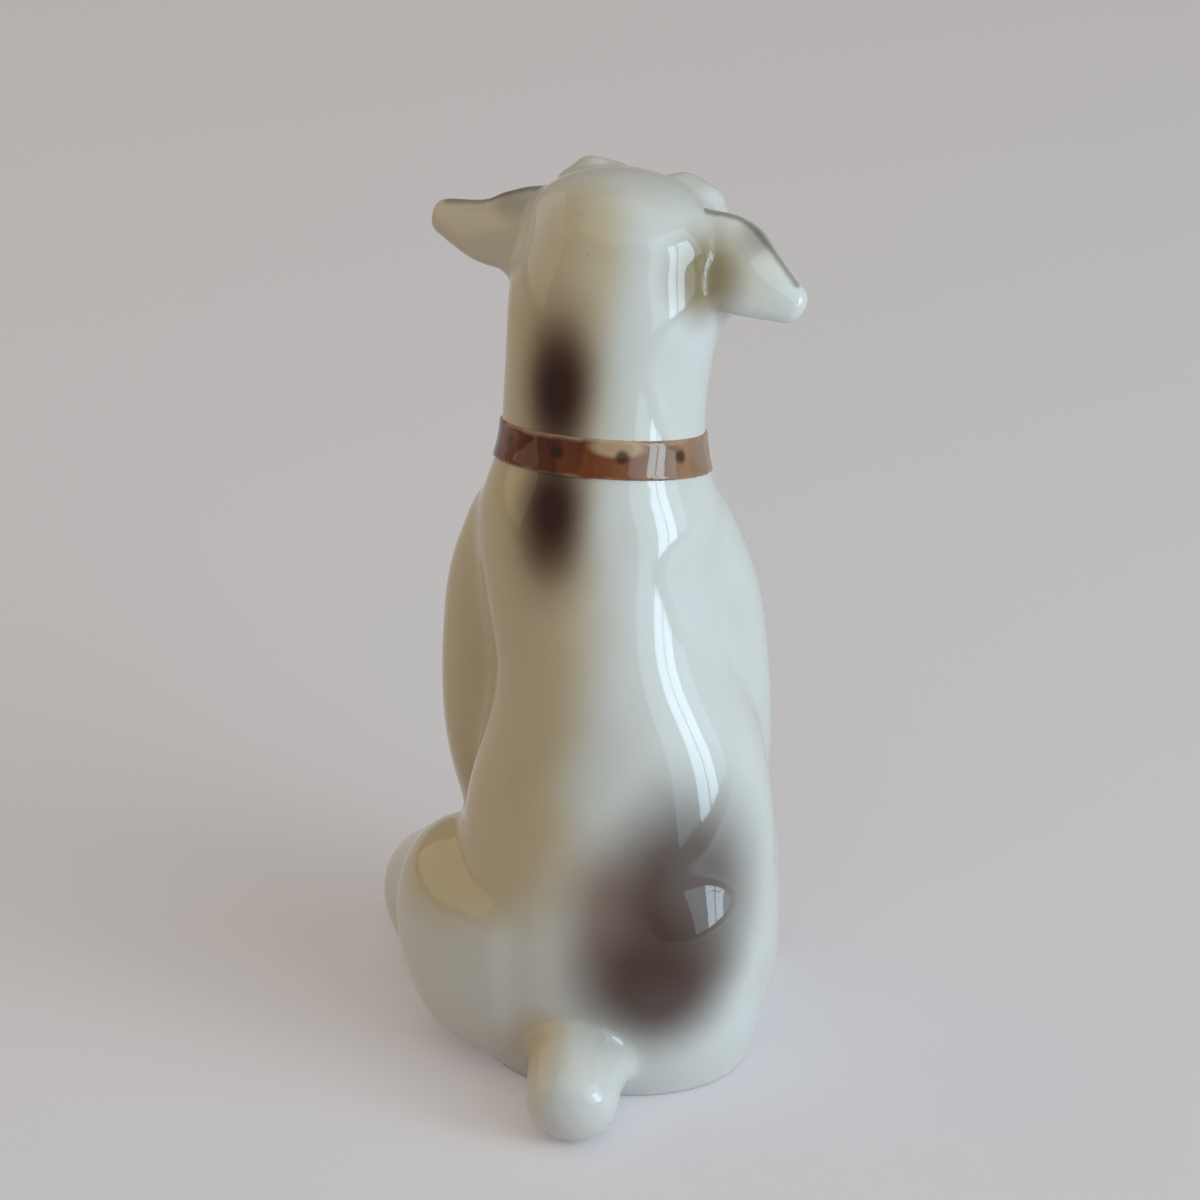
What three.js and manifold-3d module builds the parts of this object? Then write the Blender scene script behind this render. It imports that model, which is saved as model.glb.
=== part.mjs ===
// A seated terrier puppy in glazed porcelain, about 86 mm tall.
// It is put together as a pottery does it: hollow slip castings for the trunk and the head,
// solid castings for the ears, legs and tail, a clay strap for the collar, and small pressed
// bosses for the nose and the eyes, each luted to its neighbour across a thin joint.
// Millimetres. +Z is up, the dog looks along -Y, and its left side is at +X.

import * as THREE from "three";
import { LoftGeometry } from "three/addons/geometries/LoftGeometry.js";
import { mergeVertices } from "three/addons/utils/BufferGeometryUtils.js";
import Module from "manifold-3d";

const wasm = await Module();
wasm.setup();

const WALL = 2.6; // thickness of the slip-cast walls
const JOINT = 0.3; // luting joint left between two castings
const VENT_RADIUS = 3.3; // hole in the seat that lets the kiln gases out
const VENT_AT = [-0.8, -3];
const COLLAR_HEIGHT = 3.8;
const COLLAR_PROUD = 0.45; // how far the strap stands off the neck
const COLLAR_SUNK = 0.6; // how deep it lies in its groove round the neck

// The middle of the figure's footprint, which becomes the origin.
const FOOTPRINT_CENTRE = new THREE.Vector3(1.95, -3.2, 0);

// Where the neck casting meets the trunk: the middle of the collar, with the neck leaning forward.
const COLLAR_AT = new THREE.Vector3(-0.2, -7.8, 60.6);
const NECK_LEAN = THREE.MathUtils.degToRad(15);
const COLLAR_TILT = THREE.MathUtils.degToRad(-2); // it hangs a little lower on the right

// The head is modelled level and facing front, then tilted and set on the neck.
const HEAD_AT = new THREE.Vector3(-1.8, -13.5, 80.8);
const HEAD_TURN = new THREE.Euler(
  THREE.MathUtils.degToRad(8), // chin down
  THREE.MathUtils.degToRad(-9), // tilted towards its right shoulder
  THREE.MathUtils.degToRad(-12), // turned a little to its right
  "ZYX",
);
const headFrame = new THREE.Matrix4().compose(
  HEAD_AT,
  new THREE.Quaternion().setFromEuler(HEAD_TURN),
  new THREE.Vector3(1, 1, 1),
);

const sides = { left: 1, right: -1 };

// Forms. A form is a row of oval sections along a line of places, each written as
// [x, y, z, half width, half depth towards `face`, half depth the other way].
// `ends` are the lengths of its rounded ends. Above 2, `squareness` flattens the sides of all its
// ovals, and a seventh number in a row flattens those near that place.

const trunkForm = {
  face: [0, -1, 0],
  sides: 32,
  rings: 16,
  ends: [0, 0],
  places: {
    belowSeat: [-3.2, 2.4, -6, 10.5, 9, 8.6, 2.2],
    seat: [-3.4, 3.2, 2, 13.7, 12, 11.6, 2.2],
    hips: [-3.4, 4.2, 11, 14.8, 13.6, 13.4, 2.2],
    loins: [-3.2, 2.4, 22, 15.4, 13.4, 13.2],
    waist: [-3, 0, 31, 14.2, 13, 12.6],
    shortRibs: [-1.7, -2.2, 40, 11.3, 14, 12],
    ribs: [-0.5, -4, 47.5, 11.4, 14.4, 11.4],
    withers: [-0.2, -5.8, 54, 11.9, 12.8, 11],
    neckBase: [-0.2, -7.8, 60.6, 9.9, 10.2, 9.7],
    neckTop: [-0.3, -9.6, 67, 9.8, 9.8, 9.5],
  },
};

const neckForm = {
  face: [0, -1, 0],
  sides: 32,
  rings: 8,
  ends: [0, 3],
  places: {
    belowCollar: [-0.2, -6.2, 55, 11.3, 12.2, 10.5],
    collar: [-0.2, -7.8, 60.6, 9.9, 10.2, 9.7],
    throat: [-0.3, -9.6, 67, 9.8, 9.8, 9.5],
    nape: [-1, -11.4, 75, 10.2, 9, 9],
    crown: [-1.6, -12.6, 80.8, 9, 7.6, 7.6],
  },
};

// Forms of the head are in its own frame: the origin is the middle of the skull.
const skullForm = {
  face: [0, 0, 1],
  sides: 26,
  rings: 8,
  ends: [2.5, 2],
  places: {
    back: [0, 5, -1.4, 7.6, 5.2, 5.6],
    parietal: [0, 2, -0.8, 9.6, 6, 7],
    temples: [0, -3.5, -0.8, 9.4, 5.8, 7],
    forehead: [0, -8, -1.8, 7.4, 5, 5.4],
    muzzleRoot: [0, -11, -3, 5.4, 3.4, 4],
  },
};
const muzzleForm = {
  face: [0, 0, 1],
  sides: 20,
  rings: 6,
  squareness: 2.5,
  ends: [0, 1.6],
  places: {
    root: [0, -7, -3.2, 5.8, 4.2, 4.4],
    bridge: [0, -11.4, -3.6, 5.1, 3.6, 4],
    lips: [0, -15, -4, 4.8, 3.4, 3.6],
    tip: [0, -16.8, -4, 4.2, 3.1, 3],
  },
};
const jawForm = {
  face: [0, 0, 1],
  sides: 16,
  rings: 5,
  ends: [1, 1.4],
  places: {
    hinge: [0, -3, -7, 5.8, 2.6, 2.6],
    middle: [0, -9.5, -7.6, 4.3, 2.2, 2.1],
    chin: [0, -14, -7.6, 3.2, 1.9, 1.7],
  },
};
const cheekForm = (side) => ({
  face: [0, 0, 1],
  sides: 16,
  rings: 3,
  ends: [4, 4.4],
  places: {
    back: [side * 6.4, -2.2, -5, 5.2, 5.6, 5.6],
    front: [side * 5.2, -5.6, -5.4, 4.7, 4.6, 4.6],
  },
});

// The two brows are not quite alike.
const browForms = {
  left: {
    face: [0, 0, 1],
    sides: 14,
    rings: 4,
    ends: [2, 2],
    places: {
      inner: [4, -7.4, 1.9, 2.8, 2.1, 2],
      outer: [6.2, -5.4, 2.1, 2.6, 2.4, 2],
    },
  },
  right: {
    face: [0, 0, 1],
    sides: 14,
    rings: 4,
    ends: [2, 2.2],
    places: {
      inner: [-2.6, -7, 2.6, 3.2, 2.4, 2.4],
      outer: [-5, -6.2, 2.2, 3, 2.5, 2.4],
    },
  },
};

// The two ears hang a little differently: the left is set lower, and the right is cocked.
const ear = (places) => ({
  face: [0, -0.5, 1],
  sides: 16,
  rings: 8,
  ends: [0.5, 1],
  squareness: 2.2,
  places,
});
const earForms = {
  left: ear({
    root: [6, 1, -1.8, 1.5, 4.2, 5.4],
    base: [9.4, 0.8, -2, 1.7, 3.7, 5.8],
    fold: [11.6, 0.5, -2.5, 1.7, 3, 5],
    flap: [14.2, 0.2, -3.4, 1.5, 2.2, 3.8],
    tip: [18.8, -0.8, -4, 1.1, 1.4, 1.9],
  }),
  right: ear({
    root: [-6, 1, -0.4, 1.5, 4.5, 4.5],
    base: [-9.2, 0.8, -0.6, 1.7, 4.9, 4.6],
    fold: [-11, 0.4, -0.8, 1.7, 4.8, 4.3],
    flap: [-13.2, 0.1, -1.4, 1.5, 3.9, 3.8],
    tip: [-17.6, -0.8, -2.9, 1.1, 1.7, 2],
  }),
};

const tailForm = {
  face: [0, 0, 1],
  sides: 18,
  rings: 6,
  ends: [1, 3.4],
  places: {
    root: [-2, 12, 6.5, 6.4, 5.4, 5],
    middle: [-1.3, 18, 5, 4.9, 4.7, 4.5],
    tip: [-1.4, 22.6, 4, 4.4, 4.1, 4],
  },
};

const ELBOW_OUT = { left: 0, right: 1 };
const forelegForm = (side, out) => ({
  face: [0, -1, 0],
  sides: 18,
  rings: 12,
  ends: [3, 1.5],
  places: {
    shoulder: [side * 8, -7.5, 52.5, 4.8, 6.4, 5.8],
    upperArm: [side * (9.8 + out * 0.4), -8, 44, 5.6, 6.6, 5.8],
    elbow: [side * (11.1 + out), -8.4, 31, 4.9, 5.8, 5.4],
    forearm: [side * (10.6 + out), -11.6, 20, 4.3, 4.6, 4.4],
    wrist: [side * 8.6, -14.6, 10, 3.6, 3.7, 3.6],
    pastern: [side * 7.6, -15.8, 5, 3.6, 3.6, 3.5],
  },
});
const forepawForm = (side) => ({
  face: [0, 0, 1],
  sides: 18,
  rings: 5,
  ends: [1.5, 1.6],
  places: {
    heel: [side * 7.4, -14.5, 2.8, 3.5, 2.6, 3.4],
    knuckles: [side * 7.4, -18.8, 2.5, 4.1, 2.8, 3.2],
    toes: [side * 7.4, -21, 2.1, 3.8, 2.2, 2.8],
  },
});

const thighForms = {
  left: {
    face: [0, 0, 1],
    sides: 22,
    rings: 10,
    ends: [5, 5],
    places: {
      pelvis: [3, 6.6, 11.5, 9.6, 11, 11, 3],
      hip: [7, 4.2, 11.4, 9.4, 10.6, 10.8, 3],
      thigh: [11, 1, 12.2, 8.7, 10.2, 12, 2.3],
      aboveKnee: [13.6, -4.2, 10.6, 6.4, 8.6, 10.2],
      knee: [16.9, -9.2, 8.6, 6, 6.6, 8],
    },
  },
  right: {
    face: [0, 0, 1],
    sides: 22,
    rings: 8,
    ends: [6, 5],
    squareness: 2.2,
    places: {
      hip: [-10, 5.6, 11, 8.4, 11.4, 11],
      thigh: [-10.6, 3, 14, 8.8, 14, 13],
      knee: [-12.2, -7, 14.5, 6.2, 13, 12],
    },
  },
};
const hindpawForms = {
  left: {
    face: [0, 0, 1],
    sides: 16,
    rings: 6,
    ends: [2, 1.6],
    places: {
      hock: [13.6, 0, 3.2, 3.6, 3.6, 4],
      instep: [17, -10.5, 3, 3.6, 3, 3.6],
      knuckles: [19.2, -17, 2.6, 4.1, 2.8, 3.2],
      toes: [19.8, -19, 2.2, 3.8, 2.2, 2.8],
    },
  },
  right: {
    face: [0, 0, 1],
    sides: 16,
    rings: 6,
    ends: [2, 1.6],
    places: {
      hock: [-12.6, 2, 3.2, 3.4, 3.6, 4],
      instep: [-13, -8, 3, 3.4, 3, 3.6],
      knuckles: [-13.2, -14, 2.6, 3.8, 2.8, 3.2],
      toes: [-13.2, -16, 2.2, 3.5, 2.2, 2.8],
    },
  },
};

// One oval section of a form as points, counterclockwise as seen from the form's far end.
function section(centre, tangent, faceDirection, half, count, squareness) {
  const side = new THREE.Vector3().crossVectors(faceDirection, tangent).normalize();
  const deep = new THREE.Vector3().crossVectors(tangent, side);
  const bend = (value) => Math.sign(value) * Math.abs(value) ** (2 / squareness);
  const points = [];
  for (let i = 0; i < count; i++) {
    const angle = (i / count) * 2 * Math.PI;
    const across = bend(Math.cos(angle)) * half.x;
    const along = bend(Math.sin(angle)) * (Math.sin(angle) > 0 ? half.y : half.z);
    points.push(centre.clone().addScaledVector(side, across).addScaledVector(deep, along));
  }
  return points;
}

const CAP_RINGS = 3; // rings in a rounded end
const NEARLY_POLE = 0.05; // the last ring stays this share of a full one

// The closed skin of a form, grown outwards by `grow`.
function skin({ places, face, sides: count, rings, ends, squareness = 2 }, grow = 0) {
  const rows = Object.values(places);
  const line = new THREE.CatmullRomCurve3(rows.map(([x, y, z]) => new THREE.Vector3(x, y, z)));
  const halves = new THREE.CatmullRomCurve3(rows.map(([, , , w, f, b]) => new THREE.Vector3(w, f, b)));
  const faceDirection = new THREE.Vector3(...face);
  const squares = rows.map((row) => row[6] ?? squareness);
  const squareAt = (t) => {
    const spot = t * (rows.length - 1);
    const i = Math.min(Math.floor(spot), rows.length - 2);
    return THREE.MathUtils.lerp(squares[i], squares[i + 1], spot - i);
  };
  const sections = [];
  const add = (t, scale, shift) => {
    const tangent = line.getTangent(t);
    const half = halves.getPoint(t).addScalar(grow).multiplyScalar(scale);
    const centre = line.getPoint(t).addScaledVector(tangent, shift);
    sections.push(section(centre, tangent, faceDirection, half, count, squareAt(t)));
  };
  const cap = (t, length, direction) => {
    for (let k = 1; k <= CAP_RINGS; k++) {
      const swing = (k / CAP_RINGS) * (Math.PI / 2);
      add(t, Math.max(Math.cos(swing), NEARLY_POLE), direction * length * Math.sin(swing));
    }
  };
  const [startLength, endLength] = ends.map((length) => (length > 0 ? length + grow : 0));
  if (startLength > 0) cap(0, startLength, -1);
  sections.reverse();
  for (let i = 0; i <= rings; i++) add(i / rings, 1, 0);
  if (endLength > 0) cap(1, endLength, 1);
  return new LoftGeometry(sections, { capStart: true, capEnd: true });
}

// A closed geometry as a solid that can be joined and cut.
function solidOf(geometry) {
  const bare = new THREE.BufferGeometry().setAttribute("position", geometry.getAttribute("position"));
  if (geometry.index) bare.setIndex(geometry.index);
  const merged = mergeVertices(bare, 1e-4);
  return new wasm.Manifold(
    new wasm.Mesh({
      numProp: 3,
      vertProperties: merged.getAttribute("position").array,
      triVerts: new Uint32Array(merged.index.array),
    }),
  );
}

const formSolid = (form, grow = 0) => solidOf(skin(form, grow));
const headSolid = (form, grow = 0) => solidOf(skin(form, grow).applyMatrix4(headFrame));
const join = (solids) => solids.reduce((all, next) => all.add(next));

function geometryOf(solid) {
  const { vertProperties, triVerts } = solid.getMesh();
  return new THREE.BufferGeometry()
    .setAttribute("position", new THREE.BufferAttribute(vertProperties, 3))
    .setIndex(new THREE.BufferAttribute(triVerts, 1));
}

const SLAB = 200; // side of the blocks that cut along a plane, larger than the figure

// Everything below this height is cut away by the block.
function below(height) {
  return solidOf(new THREE.BoxGeometry(SLAB, SLAB, SLAB).translate(0, 0, height - SLAB / 2));
}

// The layer of space between two heights along the leaning neck, from the luting plane.
function neckLayer(low, high) {
  const layer = new THREE.BoxGeometry(SLAB, SLAB, high - low);
  layer.translate(0, 0, (low + high) / 2);
  layer.rotateX(NECK_LEAN);
  layer.rotateY(COLLAR_TILT);
  layer.translate(...COLLAR_AT);
  return solidOf(layer);
}

// A small boss on the face: an ellipsoid, in the head's own frame.
function boss([x, y, z], [rx, ry, rz]) {
  const ball = new THREE.SphereGeometry(1, 16, 10);
  ball.scale(rx, ry, rz);
  ball.translate(x, y, z);
  return solidOf(ball.applyMatrix4(headFrame));
}

const ground = below(0);
const aboveCollar = neckLayer(0, SLAB);

const headForms = [
  skullForm,
  muzzleForm,
  jawForm,
  ...Object.values(sides).map(cheekForm),
  ...Object.values(browForms),
];
const headBlock = (grow) =>
  join([formSolid(neckForm, grow), ...headForms.map((form) => headSolid(form, grow))]);
const trunkClear = formSolid(trunkForm, JOINT);
const headClear = headBlock(JOINT);

const vent = solidOf(
  new THREE.CylinderGeometry(VENT_RADIUS, VENT_RADIUS, 4 * WALL, 24)
    .rotateX(Math.PI / 2)
    .translate(...VENT_AT, 0),
);

const halfCollar = COLLAR_HEIGHT / 2;
const collarGroove = neckLayer(-halfCollar - JOINT, halfCollar + JOINT).subtract(
  formSolid(trunkForm, -COLLAR_SUNK - JOINT),
);

function trunkCasting() {
  const hollow = formSolid(trunkForm, -WALL).subtract(below(WALL));
  const block = formSolid(trunkForm).subtract(aboveCollar).subtract(ground).subtract(collarGroove);
  return block.subtract(hollow).subtract(vent);
}

function headCasting() {
  const hollow = join([formSolid(neckForm, -WALL), headSolid(skullForm, -WALL)]);
  return headBlock(0).intersect(neckLayer(JOINT, SLAB)).subtract(collarGroove).subtract(hollow);
}

function collarStrap() {
  const band = formSolid(trunkForm, COLLAR_PROUD).subtract(formSolid(trunkForm, -COLLAR_SUNK));
  return band.intersect(neckLayer(-halfCollar, halfCollar));
}

const luteToTrunk = (solids) => join(solids).subtract(trunkClear).subtract(ground);

const forelegForms = (name, side) => [forelegForm(side, ELBOW_OUT[name]), forepawForm(side)];
const hindLegForms = {
  left: [thighForms.left, hindpawForms.left],
  right: [thighForms.right, hindpawForms.right],
};

const EYE_AT = { across: 4.5, forward: -9.4, up: 0.2 };
const EYE_RADII = [1.5, 1.5, 1.6];
const NOSE_AT = [0, -17.8, -2.5];
const NOSE_RADII = [2.1, 1.8, 1.6];

const whiteGlaze = new THREE.MeshStandardMaterial({ color: 0xe9e8e2, roughness: 0.12, metalness: 0 });
const earGlaze = new THREE.MeshStandardMaterial({ color: 0xc9bca6, roughness: 0.12, metalness: 0 });
const collarEnamel = new THREE.MeshStandardMaterial({ color: 0x8a4f38, roughness: 0.2, metalness: 0 });
const darkEnamel = new THREE.MeshStandardMaterial({ color: 0x1f1a18, roughness: 0.08, metalness: 0 });

const figure = new THREE.Group();
figure.position.copy(FOOTPRINT_CENTRE).negate();

function addPiece(name, solid, material) {
  const mesh = new THREE.Mesh(geometryOf(solid), material);
  mesh.name = name;
  figure.add(mesh);
}

addPiece("trunk", trunkCasting(), whiteGlaze);
addPiece("head", headCasting(), whiteGlaze);
addPiece("collar", collarStrap(), collarEnamel);
addPiece("tail", luteToTrunk([formSolid(tailForm)]), whiteGlaze);
addPiece("nose", boss(NOSE_AT, NOSE_RADII).subtract(headClear), darkEnamel);
for (const [name, side] of Object.entries(sides)) {
  addPiece(`ear_${name}`, headSolid(earForms[name]).subtract(headClear), earGlaze);
  const eye = boss([side * EYE_AT.across, EYE_AT.forward, EYE_AT.up], EYE_RADII);
  addPiece(`eye_${name}`, eye.subtract(headClear), darkEnamel);
  const forelegBlock = (grow) => join(forelegForms(name, side).map((form) => formSolid(form, grow)));
  addPiece(`foreleg_${name}`, luteToTrunk([forelegBlock(0)]), whiteGlaze);
  const hindLeg = luteToTrunk(hindLegForms[name].map((form) => formSolid(form)));
  const clearedLeg = hindLeg.subtract(forelegBlock(JOINT)).subtract(formSolid(tailForm, JOINT));
  addPiece(`hind_leg_${name}`, clearedLeg, whiteGlaze);
}

const root = new THREE.Group();
root.add(figure);

export default root;
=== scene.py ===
# %% [markdown]
# A seated puppy in glazed porcelain, seen from behind.
# The real figure is cast in pieces, the pieces are luted together with wet slip, and one clear
# glaze flows over everything, so that no joint shows. This lesson does the same: each part of the
# body is laid as a row of oval rings, the parts are fused and smoothed into one skin as slip and
# glaze would do, and the skin is then cut back into the castings. Paint comes last.

# %% Load the frame
import math
import bmesh
import bpy
from mathutils import Color, Matrix, Vector
from mathutils.kdtree import KDTree


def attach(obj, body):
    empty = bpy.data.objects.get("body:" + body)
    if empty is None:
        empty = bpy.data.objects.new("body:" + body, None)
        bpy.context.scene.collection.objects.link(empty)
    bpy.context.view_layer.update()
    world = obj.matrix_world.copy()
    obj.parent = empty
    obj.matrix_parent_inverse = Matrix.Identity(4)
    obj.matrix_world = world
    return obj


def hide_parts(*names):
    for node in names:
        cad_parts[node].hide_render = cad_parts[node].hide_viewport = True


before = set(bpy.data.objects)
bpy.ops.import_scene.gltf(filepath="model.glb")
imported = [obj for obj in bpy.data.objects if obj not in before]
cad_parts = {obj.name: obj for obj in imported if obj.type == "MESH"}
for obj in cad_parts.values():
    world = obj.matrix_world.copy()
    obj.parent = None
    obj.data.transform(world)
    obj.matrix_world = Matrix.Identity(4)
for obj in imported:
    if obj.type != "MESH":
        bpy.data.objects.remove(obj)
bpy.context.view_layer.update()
scene = bpy.context.scene

# %% [markdown]
# Everything is modelled in millimetres from the maker's own datum, under the middle of the seat,
# and moved to the shared frame in metres at the end. Big, plain numbers are easier to think in,
# and the fusing steps below like a size near one better than a size near a thousandth.

# %% Units and the sides of the dog
MM = 0.001
DATUM = Vector((1.95, -3.2, 0))
TO_ROW = Matrix.Scale(MM, 4) @ Matrix.Translation(-DATUM)
SIDES = {"left": 1, "right": -1}

# %% [markdown]
# An animal's trunk or leg swells and tapers along a bent line. It could be carved from a block or
# pulled from a box with a subdivision surface, but a modeller of figures thinks in sections, so a
# form here is a short table: at each named place, where the middle of the section is, how wide
# it is to each side, and how deep it is towards and away from one face. The last number says how
# square the oval is: 2 is an ellipse, and more than that flattens its sides.

# %% One section of a form


def bent(value, squareness):
    """A sine or cosine moved outwards, so that a circle becomes a squarer oval."""
    return math.copysign(abs(value) ** (2 / squareness), value)


def edges_of(verts):
    """The edges at these points, each once and in the same order every time."""
    return list(dict.fromkeys(edge for vert in verts for edge in vert.link_edges))


def oval(bm, row, along, face, corners, capped):
    """A closed ring of edges round row's place, square to the line `along`."""
    x, y, z, half_width, towards, away, squareness = row
    made = bmesh.ops.create_circle(bm, cap_ends=capped, segments=corners, radius=1)
    for vert in made["verts"]:
        across = bent(vert.co.x, squareness) * half_width
        deep = bent(vert.co.y, squareness)
        vert.co = (across, deep * (towards if deep > 0 else away), 0)
    side = face.cross(along).normalized()
    turn = Matrix((side, along.cross(side), along)).transposed().to_4x4()
    place = Matrix.Translation((x, y, z)) @ turn
    bmesh.ops.transform(bm, matrix=place, verts=made["verts"])
    return edges_of(made["verts"])


def row_at(rows, t):
    """The row at the share t of the way along, on a smooth curve through all rows."""
    spot = t * (len(rows) - 1)
    i = min(int(spot), len(rows) - 2)
    u = spot - i
    b, c = rows[i], rows[i + 1]
    a = rows[i - 1] if i > 0 else b * 2 - c
    d = rows[i + 2] if i + 2 < len(rows) else c * 2 - b
    bend = (a * 2 - b * 5 + c * 4 - d) * u * u + (b * 3 - a - c * 3 + d) * u * u * u
    return (b * 2 + (c - a) * u + bend) / 2


# %% [markdown]
# The rings are skinned with bridge_loops, two at a time, and the ends are rounded off by a few
# rings that shrink along a quarter ellipse. A lathe can't do this, because the line bends and the
# sections aren't round.

# %% A whole form
CAP_RINGS = 6
TIP_SHARE = 0.04  # the last ring of a rounded end, as a share of a full one
STEP = 1e-3  # for reading the direction of the line


def lay_form(bm, form, grow=0.0, place=None, corners=40, steps=28):
    """Lays a form's skin in bm, grown outwards, and moved by the matrix `place`."""
    rows = [Vector((*row, form["squareness"])[:7]) for row in form["places"].values()]
    face = Vector(form["face"])
    old = set(bm.verts)
    stations = [(k / steps, 1, 0) for k in range(steps + 1)]
    start, end = (length + grow if length > 0 else 0 for length in form["ends"])
    for k in range(1, CAP_RINGS + 1):
        swing = k / CAP_RINGS * math.pi / 2
        scale = max(math.cos(swing), TIP_SHARE)
        if start > 0:
            stations.insert(0, (0, scale, -start * math.sin(swing)))
        if end > 0:
            stations.append((1, scale, end * math.sin(swing)))
    before = None
    for number, (t, scale, shift) in enumerate(stations):
        row = row_at(rows, t)
        ahead = row_at(rows, min(t + STEP, 1)) - row_at(rows, max(t - STEP, 0))
        along = Vector(ahead[:3]).normalized()
        middle = Vector(row[:3]) + along * shift
        halves = [(half + grow) * scale for half in row[3:6]]
        capped = number in (0, len(stations) - 1)
        ring = oval(bm, (*middle, *halves, row[6]), along, face, corners, capped)
        if before:
            bmesh.ops.bridge_loops(bm, edges=before + ring)
        before = ring
    if place:
        bmesh.ops.transform(bm, matrix=place, verts=[v for v in bm.verts if v not in old])


def lay_ball(bm, centre, radii, turn=None, place=None):
    """A rounded lump: a ball stretched to three radii."""
    matrix = Matrix.Translation(centre) @ (turn or Matrix()) @ Matrix.Diagonal((*radii, 1))
    bmesh.ops.create_icosphere(bm, subdivisions=4, radius=1, matrix=(place or Matrix()) @ matrix)


# %% [markdown]
# Fusing is the job of slip. The Remesh modifier in voxel mode takes a heap of overlapping closed
# forms and returns the one skin round all of them. A Smooth modifier then rounds every crease as
# wet slip and glaze do. The reach of the smoothing is a length, so it is turned into a number of
# passes for the size of voxel in use. Large forms are fused first with a long reach, and finer
# ones are added later with a short one, so that the small details aren't washed away. Cutting is
# left to the Boolean modifier, whose Manifold solver is quick and exact on closed skins.

# %% Fuse, smooth and cut
PASS_SHARE = 0.5  # how far one pass moves a point towards the middle of its neighbours


def object_of(bm, name):
    """An object with what the bmesh holds, faces outwards."""
    bmesh.ops.recalc_face_normals(bm, faces=bm.faces)
    mesh = bpy.data.meshes.new(name)
    bm.to_mesh(mesh)
    bm.free()
    obj = bpy.data.objects.new(name, mesh)
    scene.collection.objects.link(obj)
    return obj


def settle(obj):
    """Applies the modifiers."""
    done = bpy.data.meshes.new_from_object(obj.evaluated_get(bpy.context.evaluated_depsgraph_get()))
    obj.modifiers.clear()
    old, obj.data = obj.data, done
    bpy.data.meshes.remove(old)
    return obj


def fuse(obj, voxel, reach):
    """One skin round all the shells of obj, with creases rounded over about `reach`."""
    remesh = obj.modifiers.new("fuse", "REMESH")
    remesh.mode = "VOXEL"
    remesh.voxel_size = voxel
    smooth = obj.modifiers.new("soften", "SMOOTH")
    smooth.factor = PASS_SHARE
    smooth.iterations = max(1, round(2 * reach**2 / (PASS_SHARE * voxel**2)))
    return settle(obj)


def combine(obj, tool, operation):
    """Joins two closed objects by a Boolean: UNION, DIFFERENCE or INTERSECT."""
    boolean = obj.modifiers.new("combine", "BOOLEAN")
    boolean.operation = operation
    boolean.solver = "MANIFOLD"
    boolean.object = tool
    settle(obj)


def forget(obj):
    """Removes an object with its mesh."""
    bpy.data.meshes.remove(obj.data)


def solid_from(name, layer):
    """A closed object from a function that lays something in a new bmesh."""
    bm = bmesh.new()
    layer(bm)
    return object_of(bm, name)


def work(obj, operation, layer):
    """Adds, cuts out or keeps what the solid of the layer covers."""
    tool = solid_from("tool", layer)
    combine(obj, tool, operation)
    forget(tool)


def carve(obj, layer):
    work(obj, "DIFFERENCE", layer)


# %% [markdown]
# Fine lines, such as the mouth and the gaps between the toes, would be lost in the fusing. They are
# pressed into the finished skin instead, as with the edge of a wooden tool: each point near the
# line moves inwards along its normal.

# %% Press a line


def fade(value, start, end):
    """1 up to the start, 0 from the end on, and smooth between them."""
    share = min(max((value - start) / (end - start), 0), 1)
    return 1 - share * share * (3 - 2 * share)


def press(obj, depth_at):
    """Presses each point in by the depth that the function gives for its place."""
    bm = bmesh.new()
    bm.from_mesh(obj.data)
    bm.normal_update()
    moves = [(vert, vert.normal * depth_at(vert.co)) for vert in bm.verts]
    for vert, inwards in moves:
        vert.co -= inwards
    bm.to_mesh(obj.data)
    bm.free()


# %% [markdown]
# The trunk sits upright, narrow at the waist and full over the ribs. Its back from the waist down
# is one broad mass that takes in the right hip. The neck leaves it at the collar.

# %% Forms of the trunk and neck
FRONT = (0, -1, 0)
UP = (0, 0, 1)
ROUND = 2


def form_of(face, ends, squareness=ROUND, **places):
    """A form: its face, how far its two ends bulge out, how square it is, and its rows."""
    return {"face": face, "ends": ends, "squareness": squareness, "places": places}


trunk_form = form_of(
    FRONT, (0, 0),
    below_seat=(-3.2, 2.4, -6, 10.5, 9, 8.6, 2.2),
    seat=(-3.4, 3.2, 2, 13.7, 12, 11.6, 2.2),
    hips=(-3.4, 4.2, 11, 14.8, 13.6, 13.4, 2.2),
    loins=(-3.2, 2.4, 22, 15.4, 13.4, 13.2),
    waist=(-3, 0, 31, 14.2, 13, 12.6),
    short_ribs=(-1.7, -2.2, 40, 11.3, 14, 12),
    ribs=(-0.5, -4, 47.5, 11.4, 14.4, 11.4),
    withers=(-0.2, -5.8, 54, 11.9, 12.8, 11),
    neck_base=(-0.2, -7.8, 60.6, 9.9, 10.2, 9.7),
    neck_top=(-0.3, -9.6, 67, 9.8, 9.8, 9.5),
)
neck_form = form_of(
    FRONT, (0, 3),
    below_collar=(-0.2, -6.2, 55, 11.3, 12.2, 10.5),
    collar=(-0.2, -7.8, 60.6, 9.9, 10.2, 9.7),
    throat=(-0.3, -9.6, 67, 9.8, 9.8, 9.5),
    nape=(-1, -11.4, 75, 10.2, 9, 9),
    crown=(-1.6, -12.6, 80.8, 9, 7.6, 7.6),
)

# %% [markdown]
# The legs. The forelegs stand straight under the shoulders. The left hind leg has slid outwards,
# so its thigh lies low and its paw points ahead beside the forepaw. The right hind leg stays
# upright and is drawn up against the belly.

# %% Forms of the legs and tail


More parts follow.
